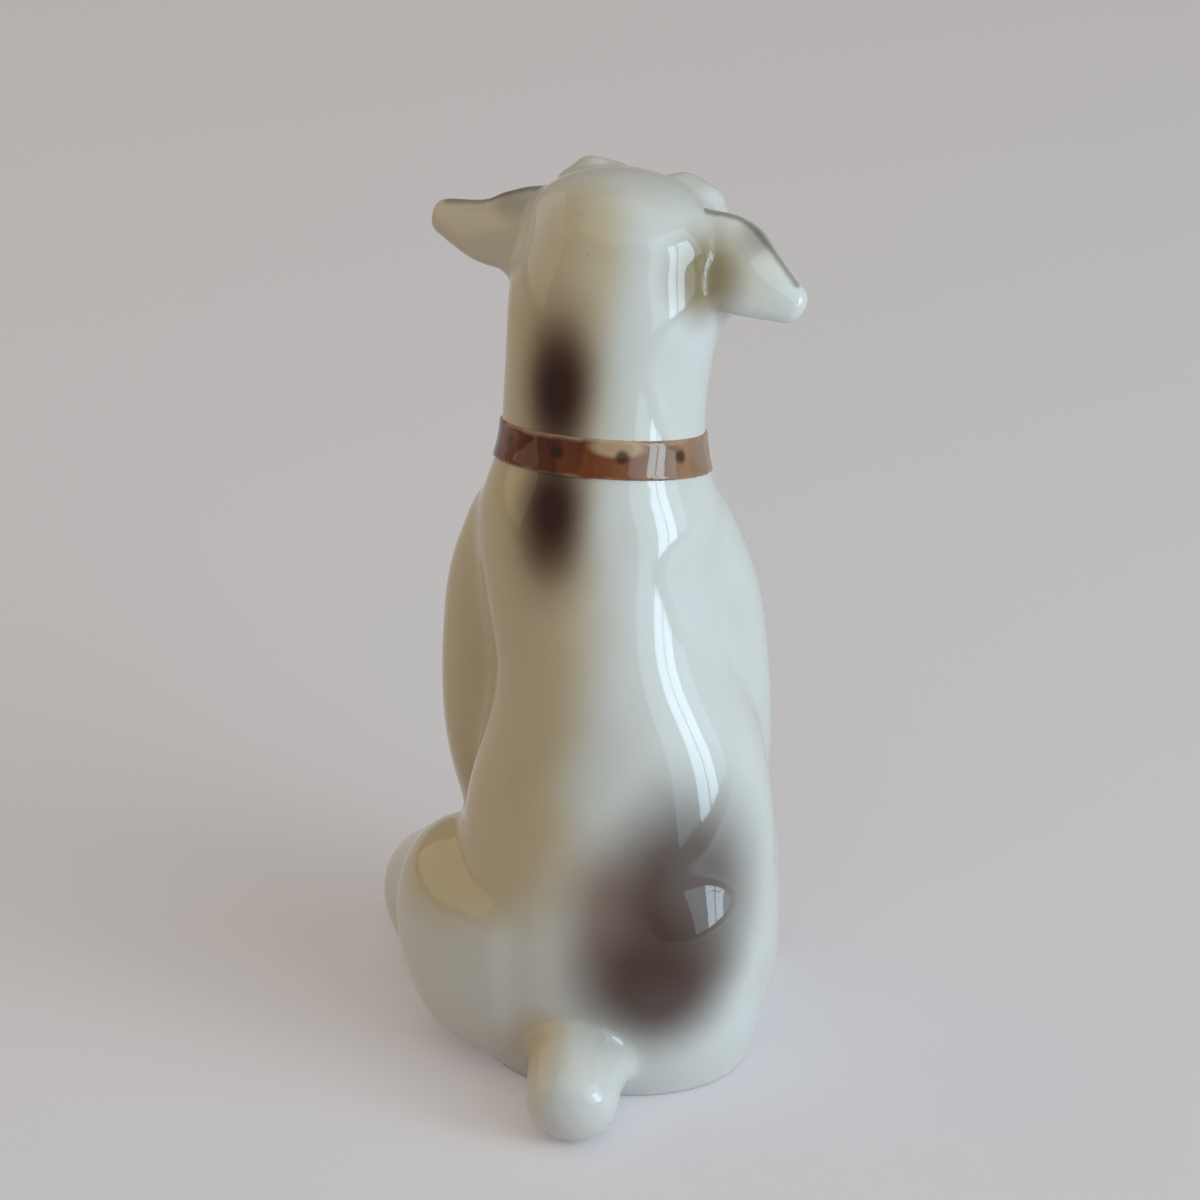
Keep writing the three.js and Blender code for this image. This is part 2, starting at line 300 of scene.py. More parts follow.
def foreleg_form(side, out):
    return form_of(
        FRONT, (3, 1.5),
        shoulder=(side * 8, -7.5, 52.5, 4.8, 6.4, 5.8),
        upper_arm=(side * (9.8 + out * 0.4), -8, 44, 5.6, 6.6, 5.8),
        elbow=(side * (11.1 + out), -8.4, 31, 4.9, 5.8, 5.4),
        forearm=(side * (10.6 + out), -11.6, 20, 4.3, 4.6, 4.4),
        wrist=(side * 8.6, -14.6, 10, 3.6, 3.7, 3.6),
        pastern=(side * 7.6, -15.8, 5, 3.6, 3.6, 3.5),
    )


def forepaw_form(side):
    return form_of(
        UP, (1.5, 1.6),
        heel=(side * 7.4, -14.5, 2.8, 3.5, 2.6, 3.4),
        knuckles=(side * 7.4, -18.8, 2.5, 4.1, 2.8, 3.2),
        toes=(side * 7.4, -21, 2.1, 3.8, 2.2, 2.8),
    )


ELBOW_OUT = {"left": 0, "right": 1}
forelegs = {name: foreleg_form(side, ELBOW_OUT[name]) for name, side in SIDES.items()}
forepaws = {name: forepaw_form(side) for name, side in SIDES.items()}
thighs = {
    "left": form_of(
        UP, (5, 5),
        pelvis=(3, 6.6, 11.5, 9.6, 11, 11, 3),
        hip=(7, 4.2, 11.4, 9.4, 10.6, 10.8, 3),
        thigh=(11, 1, 12.2, 8.7, 10.2, 12, 2.3),
        above_knee=(13.6, -4.2, 10.6, 6.4, 8.6, 10.2),
        knee=(16.9, -9.2, 8.6, 6, 6.6, 8),
    ),
    "right": form_of(
        UP, (6, 5), 2.2,
        hip=(-10, 5.6, 11, 8.4, 11.4, 11),
        thigh=(-10.6, 3, 14, 8.8, 14, 13),
        knee=(-12.2, -7, 14.5, 6.2, 13, 12),
    ),
}
hindpaws = {
    "left": form_of(
        UP, (2, 1.6),
        hock=(13.6, 0, 3.2, 3.6, 3.6, 4),
        instep=(17, -10.5, 3, 3.6, 3, 3.6),
        knuckles=(19.2, -17, 2.6, 4.1, 2.8, 3.2),
        toes=(19.8, -19, 2.2, 3.8, 2.2, 2.8),
    ),
    "right": form_of(
        UP, (2, 1.6),
        hock=(-12.6, 2, 3.2, 3.4, 3.6, 4),
        instep=(-13, -8, 3, 3.4, 3, 3.6),
        knuckles=(-13.2, -14, 2.6, 3.8, 2.8, 3.2),
        toes=(-13.2, -16, 2.2, 3.5, 2.2, 2.8),
    ),
}
tail_form = form_of(
    UP, (1, 3.4),
    root=(-2, 12, 6.5, 6.4, 5.4, 5),
    middle=(-1.3, 18, 5, 4.9, 4.7, 4.5),
    tip=(-1.4, 22.6, 4, 4.4, 4.1, 4),
)

# %% [markdown]
# A paw could be one rounded end, but four toes catch the light and read as a paw from any side.
# Each is a small ball, and the gaps between them are pressed in once the skin is fused.

# %% Toes
TOES = 4
TOE_RADII = (1.35, 2.5, 2.1)
TOE_SPREAD = 0.72  # of the paw's half width, out to the middle of the outer toes
TOE_HEIGHT = 2.1
TOE_BACK = 0.4  # the middle toes' centres lie this far behind the paw's tip
OUTER_BACK = 1.1  # and the outer ones this much further
OUTER_LOWER = 0.15
PAW_REACH = 5.2
CLEFT_DEPTH = 0.6
CLEFT_WIDTH = (0.1, 0.55)  # deepest up to the first, and gone at the second
CLEFT_RUN = (-0.4, 1.4)  # the same, back from the paw's tip


class Paw:
    """Where a paw's toes are, and which way they point."""

    def __init__(self, form):
        knuckles, tip = (Vector(form["places"][key][:3]) for key in ("knuckles", "toes"))
        self.tip = tip
        self.spread = form["places"]["knuckles"][3] * TOE_SPREAD
        self.ahead = (tip - knuckles).normalized()
        self.across = self.ahead.cross(Vector(UP)).normalized()


paws = [Paw(form) for form in (*forepaws.values(), *hindpaws.values())]


def toes(bm):
    for paw in paws:
        turn = Matrix.Rotation(math.atan2(-paw.ahead.x, paw.ahead.y), 4, "Z")
        for k in range(TOES):
            share = 2 * k / (TOES - 1) - 1
            outer = paw.across * share * paw.spread
            centre = paw.tip + outer - paw.ahead * (TOE_BACK + OUTER_BACK * abs(share))
            centre.z = TOE_HEIGHT - OUTER_LOWER * abs(share)
            lay_ball(bm, centre, TOE_RADII, turn)


def cleft_depth(place):
    """How deep the gaps between the toes are at a place."""
    for paw in paws:
        offset = place - paw.tip
        if offset.length < PAW_REACH:
            beside = offset.dot(paw.across) / paw.spread * (TOES - 1) / 2
            gap = abs(beside - min(max(round(beside), -1), 1)) * 2 * paw.spread / (TOES - 1)
            narrow = fade(gap, *CLEFT_WIDTH)
            return CLEFT_DEPTH * narrow * fade(-offset.dot(paw.ahead), *CLEFT_RUN)
    return 0


# %% [markdown]
# The body's skin, in four passes. The first fuses the large masses with a reach of a millimetre
# and a half, which is what makes the haunch and the shoulder flow into the back. The second adds
# the tail and the paws, and the third the toes. Then the figure is cut flat where it stands, and
# the last pass rounds that edge.

# %% Skin of the body
# voxel and reach of each pass
LARGE = (0.5, 1.5)
MIDDLE = (0.4, 0.75)
SMALL = (0.3, 0.2)
LAST = (0.3, 0.35)
LOST_TO_SMOOTHING = 0.2  # what the first smoothing takes off a round limb
SLAB = 200  # side of the blocks that cut along a plane, larger than the figure


def below(height):
    """A layer that fills everything below a height."""
    place = Matrix.Translation((0, 0, height - SLAB / 2))
    return lambda bm: bmesh.ops.create_cube(bm, size=SLAB, matrix=place)


def add_to(skin, layer):
    """The same skin with more closed shells laid over it, still to be fused."""
    bm = bmesh.new()
    bm.from_mesh(skin.data)
    layer(bm)
    name = skin.name
    forget(skin)
    return object_of(bm, name)


def large_masses(bm):
    for form in (trunk_form, neck_form, *thighs.values(), *forelegs.values()):
        lay_form(bm, form, LOST_TO_SMOOTHING)


def tail_and_paws(bm):
    for form in (tail_form, *forepaws.values(), *hindpaws.values()):
        lay_form(bm, form, LOST_TO_SMOOTHING / 2)


body_skin = fuse(solid_from("body_skin", large_masses), *LARGE)
body_skin = fuse(add_to(body_skin, tail_and_paws), *MIDDLE)
body_skin = fuse(add_to(body_skin, toes), *SMALL)
carve(body_skin, below(0))
fuse(body_skin, *LAST)
press(body_skin, cleft_depth)
print("body skin:", len(body_skin.data.vertices), "points")

# %% [markdown]
# The head is modelled level and facing front, then tilted and set on the neck, so its forms are
# easy to read. The muzzle, jaw, cheeks and brows are lumps on the skull.

# %% Forms of the head
HEAD_AT = Vector((-1.8, -13.5, 80.8))
HEAD_TURN = [math.radians(angle) for angle in (8, -9, -12)]
head_place = Matrix.Translation(HEAD_AT)
for turn, axis in zip(reversed(HEAD_TURN), "ZYX"):
    head_place = head_place @ Matrix.Rotation(turn, 4, axis)

skull_form = form_of(
    UP, (2.5, 2),
    back=(0, 5, -1.4, 7.6, 5.2, 5.6),
    parietal=(0, 2, -0.8, 9.6, 6, 7),
    temples=(0, -3.5, -0.8, 9.4, 5.8, 7),
    forehead=(0, -8, -1.8, 7.4, 5, 5.4),
    muzzle_root=(0, -11, -3, 5.4, 3.4, 4),
)
muzzle_form = form_of(
    UP, (0, 1.6), 2.5,
    root=(0, -7, -3.2, 5.8, 4.2, 4.4),
    bridge=(0, -11.4, -3.6, 5.1, 3.6, 4),
    lips=(0, -15, -4, 4.8, 3.4, 3.6),
    tip=(0, -16.8, -4, 4.2, 3.1, 3),
)
jaw_form = form_of(
    UP, (1, 1.4),
    hinge=(0, -3, -7, 5.8, 2.6, 2.6),
    middle=(0, -9.5, -7.6, 4.3, 2.2, 2.1),
    chin=(0, -14, -7.6, 3.2, 1.9, 1.7),
)


def cheek_form(side):
    return form_of(
        UP, (4, 4.4),
        back=(side * 6.4, -2.2, -5, 5.2, 5.6, 5.6),
        front=(side * 5.2, -5.6, -5.4, 4.7, 4.6, 4.6),
    )


brows = {
    "left": form_of(
        UP, (2, 2),
        inner=(4, -7.4, 1.9, 2.8, 2.1, 2),
        outer=(6.2, -5.4, 2.1, 2.6, 2.4, 2),
    ),
    "right": form_of(
        UP, (2, 2.2),
        inner=(-2.6, -7, 2.6, 3.2, 2.4, 2.4),
        outer=(-5, -6.2, 2.2, 3, 2.5, 2.4),
    ),
}


def ear_form(**places):
    return form_of((0, -0.5, 1), (0.5, 1), 2.2, **places)


ears = {
    "left": ear_form(
        root=(6, 1, -1.8, 1.5, 4.2, 5.4),
        base=(9.4, 0.8, -2, 1.7, 3.7, 5.8),
        fold=(11.6, 0.5, -2.5, 1.7, 3, 5),
        flap=(14.2, 0.2, -3.4, 1.5, 2.2, 3.8),
        tip=(18.8, -0.8, -4, 1.1, 1.4, 1.9),
    ),
    "right": ear_form(
        root=(-6, 1, -0.4, 1.5, 4.5, 4.5),
        base=(-9.2, 0.8, -0.6, 1.7, 4.9, 4.6),
        fold=(-11, 0.4, -0.8, 1.7, 4.8, 4.3),
        flap=(-13.2, 0.1, -1.4, 1.5, 3.9, 3.8),
        tip=(-17.6, -0.8, -2.9, 1.1, 1.7, 2),
    ),
}

# %% [markdown]
# The face. The eyes are pressed balls with a ring of clay for lids, and the nose is a boss on the
# muzzle. The ear cups are carved, as a modeller would with a wire tool, and the last fusing turns
# the cut edges into glaze-soft ones.

# %% Face and ear cups
EYE_AT = (4.5, -9.4, 0.2)  # places and directions here are those of the left side
EYE_RADII = (1.5, 1.5, 1.6)
LOOK = (0.34, -1, 0.08)
SOCKET_GROW = 0.75  # the swelling behind the lids, larger than the eye by this
SOCKET_BACK = 1.1
BACKWARDS = (-0.3, 1, 0)  # and a little towards the middle
LID_RADIUS = 1.42
LID_THICKNESS = 0.3
LID_AHEAD = 0.55  # of the eye's centre
LID_LOST = 0.1  # what the smoothing takes off the lids
BROW_BED = (4.4, 4.2, 2.3)  # radii of the low swelling under each brow
BROW_BED_SHIFT = Vector((0, 1, -0.7))
PAD_AT = (2.1, -15, -4.7)
PAD_RADII = (2.7, 2.9, 2.3)
CUP_SHRINK = -0.75
CUP_AHEAD = Vector((0, -1.5, -0.9))


def on_side(side, place):
    """The same place on the left side, 1, or mirrored on the right, -1."""
    return Vector((side * place[0], *place[1:]))


def lay_eye(bm, side, grow=0.0, back=0.0):
    radii = [radius + grow for radius in EYE_RADII]
    centre = on_side(side, EYE_AT) + on_side(side, BACKWARDS) * back
    lay_ball(bm, centre, radii, place=head_place)


def lay_lid(bm, side, grow=0.0):
    """A ring of clay round the eye, spun from a small circle."""
    old = set(bm.verts)
    stand_up = Matrix.Translation((LID_RADIUS, 0, 0)) @ Matrix.Rotation(math.pi / 2, 4, "X")
    made = bmesh.ops.create_circle(bm, segments=20, radius=LID_THICKNESS + grow, matrix=stand_up)
    bmesh.ops.spin(
        bm, geom=made["verts"] + edges_of(made["verts"]), cent=(0, 0, 0), axis=(0, 0, 1),
        angle=math.tau, steps=56, use_merge=True,
    )
    look = on_side(side, LOOK).normalized()
    turn = look.to_track_quat("Z", "Y").to_matrix().to_4x4()
    place = Matrix.Translation(on_side(side, EYE_AT) + look * LID_AHEAD) @ turn
    bmesh.ops.transform(bm, matrix=head_place @ place, verts=[v for v in bm.verts if v not in old])


def lay_cup(bm, name):
    """The hollow in the front of an ear."""
    rows = list(ears[name]["places"].items())[1:]
    places = {key: (*(Vector(row[:3]) + CUP_AHEAD), *row[3:]) for key, row in rows}
    lay_form(bm, {**ears[name], "places": places}, CUP_SHRINK, head_place)


# %% [markdown]
# The mouth. It is a curved line that rises under the nose and at its corners, with a short upright
# parting over it. It is given by a formula in the head's own frame, which says how far any place
# is from it. The same formula guides the brush when the mouth is painted. The skin of the head is
# then made as the body's was: large forms, finer forms, the carved cups, and a last soft pass.

# %% Line of the mouth
MOUTH_DEPTH = 0.34
MOUTH_WIDTH = (0.1, 0.8)  # deepest up to the first, and gone at the second
MOUTH_MIDDLE = -5.5  # height of the line under the nose
LIP_DROP = 0.7  # how far it sinks to each side of that
LIP_HALF = 2  # and how far from the middle it has sunk that much
CORNER = -10.8  # how far forward the corner of the mouth is
CORNER_RISE = 5  # the line rises to the corner over this length
PARTING_TOP = -3.9
PARTING_BACK = -15
NOWHERE_NEAR = 2  # a distance past which nothing is pressed or painted
head_unplace = head_place.inverted()


def from_mouth(place):
    """About how far a place on the muzzle is from the mouth or the parting over it."""
    x, y, z = head_unplace @ place
    if y > CORNER + NOWHERE_NEAR:
        return NOWHERE_NEAR
    drop = math.sin(min(abs(x) / LIP_HALF, 1) * math.pi / 2)
    drop -= fade(-y, -CORNER, -CORNER + CORNER_RISE)
    lips = math.hypot(z - MOUTH_MIDDLE + LIP_DROP * drop, max(y - CORNER, 0))
    beyond = max(z - PARTING_TOP, MOUTH_MIDDLE - z, 0)
    return min(lips, math.hypot(x, beyond)) if y < PARTING_BACK else lips


# %% Skin of the head
HEAD_LARGE = (0.4, 1)
HEAD_SMALL = (0.3, 0.55)
HEAD_LAST = (0.24, 0.3)


def neck_and_skull(bm):
    lay_form(bm, neck_form, LOST_TO_SMOOTHING)
    for form in (skull_form, muzzle_form, jaw_form, cheek_form(1), cheek_form(-1)):
        lay_form(bm, form, LOST_TO_SMOOTHING / 2, head_place)


def finer_forms(bm):
    for name, side in SIDES.items():
        lay_form(bm, brows[name], 0, head_place)
        inner, outer = (Vector(brows[name]["places"][key][:3]) for key in ("inner", "outer"))
        lay_ball(bm, (inner + outer) / 2 + BROW_BED_SHIFT, BROW_BED, place=head_place)
        lay_form(bm, ears[name], LOST_TO_SMOOTHING, head_place)
        lay_eye(bm, side, SOCKET_GROW, SOCKET_BACK)
        lay_lid(bm, side, LID_LOST)
        lay_ball(bm, on_side(side, PAD_AT), PAD_RADII, place=head_place)


head_skin = fuse(solid_from("head_skin", neck_and_skull), *HEAD_LARGE)
head_skin = fuse(add_to(head_skin, finer_forms), *HEAD_SMALL)
for name in SIDES:
    carve(head_skin, lambda bm: lay_cup(bm, name))
fuse(head_skin, *HEAD_LAST)
press(head_skin, lambda place: MOUTH_DEPTH * fade(from_mouth(place), *MOUTH_WIDTH))
print("head skin:", len(head_skin.data.vertices), "points")

# %% [markdown]
# Now the skins are cut back into castings, along the forms that they came from. A territory is the
# space round a limb's own forms, less the core of the trunk. The skin inside the territory is the
# limb, and what stays outside it goes on to the next cut, so that the pieces meet face to face.

# %% Cut the skins into castings
JOINT_SHIFT = 0.3  # the joints lie this far outside the trunk's own form
# how far each territory reaches out round its forms
GROWTH = {"foreleg": 0.9, "tail": 0.9, "hind_leg": 2.5, "ear": 1.2}
pieces = {}


def cut_off(skin, name, forms, growth, core, place=None):
    """Makes a piece of what the skin has inside the forms' territory, and takes it off."""
    space = solid_from("territory", lambda bm: lay_form(bm, forms[0], growth, place))
    for form in forms[1:]:
        work(space, "UNION", lambda bm: lay_form(bm, form, growth, place))
    for inner, inner_place in core:
        carve(space, lambda bm: lay_form(bm, inner, JOINT_SHIFT, inner_place))
    piece = bpy.data.objects.new(f"{name}_casting", skin.data.copy())
    scene.collection.objects.link(piece)
    combine(piece, space, "INTERSECT")
    combine(skin, space, "DIFFERENCE")
    forget(space)
    pieces[name] = piece


trunk_core = [(trunk_form, None)]
for name in SIDES:
    limb = [forelegs[name], forepaws[name]]
    cut_off(body_skin, f"foreleg_{name}", limb, GROWTH["foreleg"], trunk_core)
cut_off(body_skin, "tail", [tail_form], GROWTH["tail"], trunk_core)
for name in SIDES:
    limb = [thighs[name], hindpaws[name]]
    cut_off(body_skin, f"hind_leg_{name}", limb, GROWTH["hind_leg"], trunk_core)
head_core = [(neck_form, None)]
head_core += [(form, head_place) for form in (skull_form, cheek_form(1), cheek_form(-1))]
for name in SIDES:
    cut_off(head_skin, f"ear_{name}", [ears[name]], GROWTH["ear"], head_core, head_place)
print("cut off:", *pieces)

# %% [markdown]
# The trunk and the head are hollow, with a wall of a couple of millimetres, because the slip that
# isn't needed is poured out of the mould. They meet in a plane half-way up the collar. The hole in
# the seat lets the hot air out of the kiln.

# %% Where the collar sits
COLLAR_AT = Vector((-0.2, -7.8, 60.6))
NECK_LEAN = math.radians(15)
COLLAR_TILT = math.radians(-2)
COLLAR_HEIGHT = 3.8
COLLAR_PROUD = 0.45
COLLAR_SUNK = 0.6
collar_place = (
    Matrix.Translation(COLLAR_AT)
    @ Matrix.Rotation(COLLAR_TILT, 4, "Y")
    @ Matrix.Rotation(NECK_LEAN, 4, "X")
)

# %% Hollow the trunk and the head
WALL = 2.6
VENT_RADIUS = 3.3
VENT_AT = (-0.8, -3, 0)


def neck_layer(bm, low, high):
    """The space between two heights along the leaning neck."""
    middle = Matrix.Translation((0, 0, (low + high) / 2))
    block = Matrix.Diagonal((SLAB, SLAB, high - low, 1))
    bmesh.ops.create_cube(bm, size=1, matrix=collar_place @ middle @ block)


def lay_vent(bm):
    place = Matrix.Translation(VENT_AT)
    bmesh.ops.create_cone(
        bm, cap_ends=True, segments=64, radius1=VENT_RADIUS, radius2=VENT_RADIUS,
        depth=4 * WALL, matrix=place,
    )


def above_collar(bm):
    neck_layer(bm, 0, SLAB)


carve(body_skin, above_collar)
work(head_skin, "INTERSECT", above_collar)

hollow = solid_from("hollow", lambda bm: lay_form(bm, trunk_form, -WALL, corners=64))
carve(hollow, below(WALL))
combine(body_skin, hollow, "DIFFERENCE")
carve(body_skin, lay_vent)
carve(head_skin, lambda bm: lay_form(bm, neck_form, -WALL, corners=64))
carve(head_skin, lambda bm: lay_form(bm, skull_form, -WALL, head_place))
forget(hollow)
pieces["trunk"] = body_skin
pieces["head"] = head_skin
print("wall in mm:", WALL)

# %% [markdown]
# The collar is a strap of clay laid round the neck over the joint. A slice of the trunk's own
# form, a little larger, is cut out inside by a smaller one, and fusing it rounds its rims. The
# strap then cuts its own groove in the trunk and the head, so that it sits in them with no gap.

# %% Collar
STRAP_FUSING = (0.17, 0.34)  # voxel and reach
STRAP_STEPS = 60
half = COLLAR_HEIGHT / 2
outside = {"grow": COLLAR_PROUD, "corners": 120, "steps": STRAP_STEPS}
inside = {"grow": -COLLAR_SUNK, "corners": 96, "steps": STRAP_STEPS}
strap = solid_from("collar_strap", lambda bm: lay_form(bm, trunk_form, **outside))
work(strap, "INTERSECT", lambda bm: neck_layer(bm, -half, half))
carve(strap, lambda bm: lay_form(bm, trunk_form, **inside))
fuse(strap, *STRAP_FUSING)
for skin in (body_skin, head_skin):
    combine(skin, strap, "DIFFERENCE")
pieces["collar"] = strap
print("collar:", len(strap.data.vertices), "points")

# %% [markdown]
# The nose and the eyes are the last pieces. They are pressed in while the clay is soft, so the
# head is cut out for them exactly.

# %% Nose and eyes
NOSE_AT = Vector((0, -17.8, -2.5))
NOSE_RADII = (2.1, 1.8, 1.6)
NOSE_FUSING = (0.11, 0.13)  # voxel and reach
NOSTRIL = {"from_nose": (1.15, -1.7, -0.35), "radii": (0.5, 0.9, 0.42), "turn": 0.5}
GROOVE = {"from_nose": Vector((0, -1.9, -0.9)), "radii": (0.16, 0.7, 1)}


def lay_nostril(bm, side):
    centre = NOSE_AT + on_side(side, NOSTRIL["from_nose"])
    turn = Matrix.Rotation(side * NOSTRIL["turn"], 4, "Z")
    lay_ball(bm, centre, NOSTRIL["radii"], turn, head_place)


def lay_groove(bm):
    lay_ball(bm, NOSE_AT + GROOVE["from_nose"], GROOVE["radii"], place=head_place)


nose = solid_from("nose_boss", lambda bm: lay_ball(bm, NOSE_AT, NOSE_RADII, place=head_place))
for side in SIDES.values():
    carve(nose, lambda bm: lay_nostril(bm, side))
carve(nose, lay_groove)
fuse(nose, *NOSE_FUSING)
combine(head_skin, nose, "DIFFERENCE")
pieces["nose"] = nose
for name, side in SIDES.items():
    work(head_skin, "UNION", lambda bm: lay_lid(bm, side))
    eye = solid_from(f"eye_{name}_boss", lambda bm: lay_eye(bm, side))
    combine(head_skin, eye, "DIFFERENCE")
    pieces[f"eye_{name}"] = eye

# %% [markdown]
# Cutting clay leaves crumbs, and so does a Boolean: points that lie on each other, faces with no
# area, and slivers that hang beside a piece. The points can be merged by distance. What is left of
# a crumb is then a body of its own, so each piece keeps its largest body and drops the others.

# %% Sweep up the crumbs
SAME_POINT = 0.001  # mm


def body_round(vert, left):
    """The points joined to one point by edges. They are taken out of `left`."""
    body = [vert]
    left.discard(vert)
    for seen in body:
        for edge in seen.link_edges:
            other = edge.other_vert(seen)
            if other in left:
                left.discard(other)
                body.append(other)
    return body


def sweep(obj):
    """Merges doubled points and drops the crumbs that the cuts left beside a piece."""
    bm = bmesh.new()
    bm.from_mesh(obj.data)
    bmesh.ops.remove_doubles(bm, verts=bm.verts, dist=SAME_POINT)
    bmesh.ops.dissolve_degenerate(bm, dist=SAME_POINT, edges=bm.edges)
    left = set(bm.verts)
    bodies = [body_round(vert, left) for vert in bm.verts if vert in left]
    bodies.sort(key=len)
    crumbs = [vert for body in bodies[:-1] for vert in body]
    if crumbs:
        print(obj.name, "lost crumbs of", [len(body) for body in bodies[:-1]], "points")
        bmesh.ops.delete(bm, geom=crumbs, context="VERTS")
    bm.to_mesh(obj.data)
    bm.free()


for piece in pieces.values():
    sweep(piece)
print("swept:", len(pieces), "pieces")

# %% [markdown]
# The shapes are done. Every piece moves to the shared frame in metres and rides on the one body of
# this rigid object. Only the cut joints are sharp; all the rest is shaded smooth.

# %% Place the pieces
SHARP = math.radians(45)
pieces["trunk"].name = "trunk_casting"
pieces["head"].name = "head_casting"
for node, piece in pieces.items():
    piece.data.transform(TO_ROW)
    piece.data.shade_smooth()
    piece.data.set_sharp_from_angle(angle=SHARP)
    print(node, len(piece.data.polygons), "faces")

# %% Let them ride
for node, piece in pieces.items():
    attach(piece, "root")
    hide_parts(node)

# %% [markdown]
# Paint and glaze. The body is white. A khaki wash and a few dark brown patches are sprayed on it
# with no edge, a fine brush draws the mouth and the rims of the ears, and one clear glaze lies over
# everything. The paint could be an image wrapped round the figure, but soft spots are simpler as
# balls of colour set down in millimetres. These helpers keep the node trees short.

# %% Helpers for paint


def pigment(red, green, blue):
    """A colour of a paint chart, 0 to 255, in the linear numbers that shaders use."""
    return (*Color((red / 255, green / 255, blue / 255)).from_srgb_to_scene_linear(), 1)


def add(tree, kind, inputs, **settings):
    """A node whose inputs, by name or number, are set to values or linked to sockets."""
    made = tree.nodes.new(f"ShaderNode{kind}")
    for key, value in settings.items():
        setattr(made, key, value)
    for key, value in inputs.items():
        if isinstance(value, bpy.types.NodeSocket):
            tree.links.new(value, made.inputs[key])
        else:
            made.inputs[key].default_value = value
    return made


def maths(tree, operation, *values):
    return add(tree, "Math", dict(enumerate(values)), operation=operation).outputs[0]


def ramp(tree, value, start, end, low=0.0, high=1.0):
    """Goes smoothly from low to high while value goes from start to end."""
    inputs = {"Value": value, "From Min": start, "From Max": end, "To Min": low, "To Max": high}
    return add(tree, "MapRange", inputs, interpolation_type="SMOOTHSTEP").outputs[0]


def tint(tree, mask, under, over, strength=1):
    """The colour `over` laid on `under` as far as the mask goes, at its full strength or less."""
    if strength != 1:
        mask = maths(tree, "MULTIPLY", mask, strength)
    return add(tree, "Mix", {0: mask, 6: under, 7: over}, data_type="RGBA").outputs[2]


def noise(tree, place, scale, detail=2.0):
    inputs = {"Vector": place, "Scale": scale, "Detail": detail}
    return add(tree, "TexNoise", inputs).outputs[0]


def in_frame(tree, place, centre, turn=(0, 0, 0), radii=(1, 1, 1)):
    """A place as seen from the centre, in a turned frame whose units are the radii."""
    inputs = {"Vector": place, "Location": centre, "Rotation": turn, "Scale": radii}
    return add(tree, "Mapping", inputs, vector_type="TEXTURE").outputs[0]


def new_group(name, takes, gives):
    """A node group, and its sockets to read from and to link to."""
    tree = bpy.data.node_groups.new(name, "ShaderNodeTree")
    for side, sockets in (("INPUT", takes), ("OUTPUT", gives)):
        for title, kind in sockets.items():
            tree.interface.new_socket(title, in_out=side, socket_type=f"NodeSocket{kind}")
    ways_in = tree.nodes.new("NodeGroupInput").outputs
    return tree, ways_in, tree.nodes.new("NodeGroupOutput").inputs


def millimetres(tree):
    """The place on the piece in the maker's millimetres, as the tables above use them."""
    place = add(tree, "TexCoord", {}).outputs["Object"]
    inputs = {"Vector": place, "Location": DATUM, "Scale": (1 / MM,) * 3}
    return add(tree, "Mapping", inputs, vector_type="POINT").outputs[0]


# %% [markdown]
# One sprayed patch: a mask that is 1 inside a ball and fades over its rim. Slow noise bends the
# rim, because a hand moves the airbrush, and fast noise breaks it into fine droplets.

# %% Shared effect: sprayed patch
RIM_BEND = 0.26  # both as shares of the ball's radius
RIM_GRAIN = 0.06

sprayed_patch, takes, gives = new_group(
    "sprayed patch",
    {"Ball": "Vector", "Millimetres": "Vector", "Softness": "Float"},
    {"Mask": "Float"},
)
far = add(sprayed_patch, "VectorMath", {0: takes["Ball"]}, operation="LENGTH").outputs["Value"]
drift = noise(sprayed_patch, takes["Millimetres"], 0.1, 1.0)
droplets = noise(sprayed_patch, takes["Millimetres"], 8, 1.0)
bent_rim = maths(sprayed_patch, "MULTIPLY_ADD", drift, RIM_BEND, -RIM_BEND / 2)
rough_rim = maths(sprayed_patch, "MULTIPLY_ADD", droplets, RIM_GRAIN, -RIM_GRAIN / 2)
far = maths(sprayed_patch, "ADD", far, maths(sprayed_patch, "ADD", bent_rim, rough_rim))
inner = maths(sprayed_patch, "SUBTRACT", 1, takes["Softness"])
outer = maths(sprayed_patch, "ADD", 1, takes["Softness"])
sprayed_patch.links.new(ramp(sprayed_patch, far, inner, outer, 1, 0), gives["Mask"])


def patch_mask(tree, place, ball, softness):
    inputs = {"Ball": ball, "Millimetres": place, "Softness": softness}
    return add(tree, "Group", inputs, node_tree=sprayed_patch).outputs["Mask"]


def spray(tree, place, under, colour, strength, centre, radii, softness, turn=(0, 0, 0)):
    """Sprays one ball of colour over what is already there."""
    mask = patch_mask(tree, place, in_frame(tree, place, centre, turn, radii), softness)
    return tint(tree, mask, under, colour, strength)


# %% [markdown]
# The coat. The wash covers the left half of the back, the neck and the head. Dark brown lies on the
# nape, below the collar and over the rump. Everything on the body and the ears uses this group, so
# that the spray runs on over the joints.

# %% Shared effect: painted coat
WHITE = pigment(232, 232, 226)
CREAM = pigment(222, 218, 204)
KHAKI = pigment(219, 203, 168)
DEEP_KHAKI = pigment(150, 131, 94)
DARK_BROWN = pigment(56, 20, 6)
RUMP_BROWN = pigment(70, 38, 24)
WARM_BROWN = pigment(122, 76, 46)

